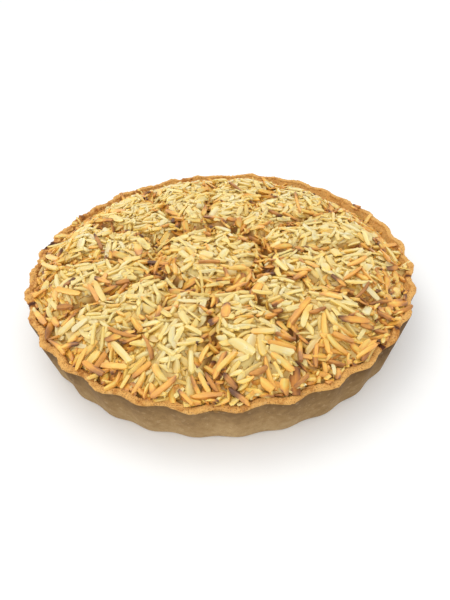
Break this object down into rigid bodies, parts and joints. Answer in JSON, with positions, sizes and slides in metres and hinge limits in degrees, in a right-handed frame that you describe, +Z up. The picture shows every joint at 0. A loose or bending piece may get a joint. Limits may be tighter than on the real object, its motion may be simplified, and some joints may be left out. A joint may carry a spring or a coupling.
{
  "type": "apple tart",
  "caption": "Round apple tart in a fluted pastry case, its low mounds of baked apple covered with toasted slivered almonds.",
  "frame": {"origin": "middle of the flat base, on the surface the tart stands on", "axes": "+Z up through the top of the tart; the picture looks along +Y, with +X to its right"},
  "size_m": [0.2787, 0.2787, 0.0439],
  "materials": {
    "pastry": "baked shortcrust, matt and crumbly",
    "almond": "toasted slivered almonds, satin"
  },
  "bodies": {
    "root": {"pastry_case": "pastry", "filling_and_almonds": "almond"}
  },
  "joints": []
}
